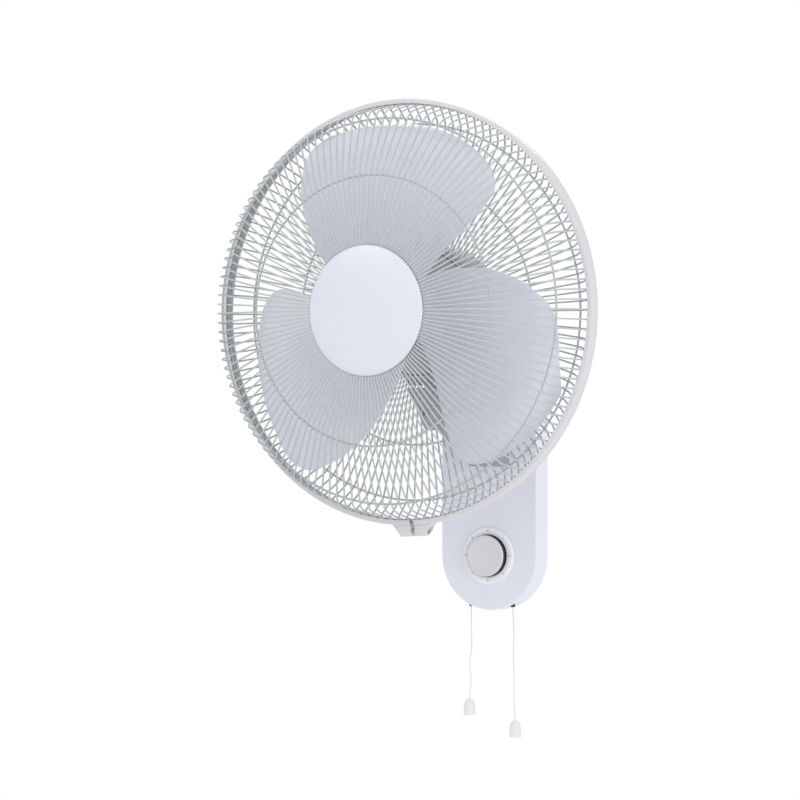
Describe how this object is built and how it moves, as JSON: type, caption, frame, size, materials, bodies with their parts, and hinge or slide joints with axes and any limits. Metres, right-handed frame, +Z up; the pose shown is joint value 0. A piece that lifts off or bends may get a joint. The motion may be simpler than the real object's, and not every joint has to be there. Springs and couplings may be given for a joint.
{
  "type": "wall mounted fan",
  "caption": "Oscillating wall fan: wire-guarded propeller on a tilting motor head and neck, held by a rounded wall bracket with a speed dial and pull cords.",
  "frame": {"origin": "centre of the bracket's back face, on the wall", "axes": "+Y into the wall, so the fan faces -Y; +Z up; +X to the right seen from the front"},
  "size_m": [0.45, 0.2993, 0.6874],
  "materials": {
    "white_abs": "satin injection-moulded, cool white",
    "badge_abs": "satin, slightly domed, bare",
    "powder_wire": "powder-coated wire, pale grey",
    "smoke_san": "translucent, smooth",
    "motor_grey": "fine satin grain",
    "dial_silver": "silver paint with a fine turned sheen",
    "zinc_steel": "zinc plated",
    "core_steel": "laminated electrical steel",
    "copper": "enamelled copper wire",
    "brass": "turned",
    "black_nylon": "moulded",
    "cream_nylon": "moulded",
    "cord_cotton": "twisted cord"
  },
  "bodies": {
    "bracket": {"bracket_housing": "white_abs", "back_plate": "white_abs", "wall_hanger": "zinc_steel", "dial_ring": "white_abs", "speed_switch": "black_nylon", "swing_switch": "black_nylon", "speed_lever_case": "black_nylon", "run_capacitor": "black_nylon", "terminal_block": "cream_nylon", "cable_gland": "cream_nylon", "bracket_screw_1": "zinc_steel", "bracket_screw_2": "zinc_steel", "arm_screw_1": "zinc_steel", "arm_screw_2": "zinc_steel", "swing_eyelet": "black_nylon", "speed_eyelet": "black_nylon", "arm": "motor_grey", "tilt_bolt": "zinc_steel", "tilt_knob": "black_nylon"},
    "dial": {"dial_knob": "dial_silver", "switch_shaft": "brass"},
    "speed_pull": {"speed_cord": "cord_cotton", "speed_pull": "white_abs"},
    "swing_pull": {"swing_cord": "cord_cotton", "swing_pull": "white_abs"},
    "neck": {"neck": "motor_grey", "swivel_bush": "cream_nylon", "swivel_pin": "zinc_steel", "swing_yoke": "zinc_steel"},
    "head": {"motor_front_shell": "motor_grey", "motor_rear_cover": "motor_grey", "stator_core": "core_steel", "front_winding": "copper", "rear_winding": "copper", "front_bearing": "zinc_steel", "rear_bearing": "zinc_steel", "motor_screw_1": "zinc_steel", "motor_screw_2": "zinc_steel", "motor_screw_3": "zinc_steel", "motor_screw_4": "zinc_steel", "swing_motor": "zinc_steel", "front_guard": "powder_wire", "front_guard_middle_ring": "powder_wire", "front_guard_outer_ring": "powder_wire", "rear_guard": "powder_wire", "rear_guard_middle_ring": "powder_wire", "rear_guard_outer_ring": "powder_wire", "rear_guard_plate": "powder_wire", "rear_guard_nut": "cream_nylon", "badge": "badge_abs", "trim_ring": "white_abs", "clamp_screw": "zinc_steel", "clamp_nut": "zinc_steel"},
    "crank": {"swing_crank": "cream_nylon"},
    "rotor": {"rotor_shaft": "zinc_steel", "rotor_core": "core_steel", "propeller": "smoke_san", "spinner_nut": "smoke_san"}
  },
  "joints": [
    {"name": "tilt", "type": "hinge", "parent": "bracket", "child": "neck", "pos_m": [0, -0.108, 0.084], "axis": [1, 0, 0], "range_deg": [-10, 30]},
    {"name": "swing", "type": "hinge", "parent": "neck", "child": "head", "pos_m": [0, -0.142, 0.104], "axis": [0, 0, 1], "range_deg": [-36, 36]},
    {"name": "crank_turn", "type": "hinge", "parent": "head", "child": "crank", "pos_m": [0, -0.12, 0.106], "axis": [0, 0, 1], "range_deg": [-98, 98]},
    {"name": "spin", "type": "hinge", "parent": "head", "child": "rotor", "pos_m": [0, -0.209, 0.184], "axis": [0, 1, 0], "continuous": true},
    {"name": "dial_turn", "type": "hinge", "parent": "bracket", "child": "dial", "pos_m": [0, -0.024, -0.08], "axis": [0, 1, 0], "continuous": true},
    {"name": "speed_pull_slide", "type": "slide", "parent": "bracket", "child": "speed_pull", "axis": [0, 0, -1], "range_m": [0, 0.012], "stiffness_N_per_m": 250, "springref_m": -0.008},
    {"name": "swing_pull_slide", "type": "slide", "parent": "bracket", "child": "swing_pull", "axis": [0, 0, -1], "range_m": [0, 0.012], "stiffness_N_per_m": 250, "springref_m": -0.008}
  ],
  "couplings": [
    {"joint": "crank_turn", "follows": "swing", "ratio": -2.72}
  ]
}
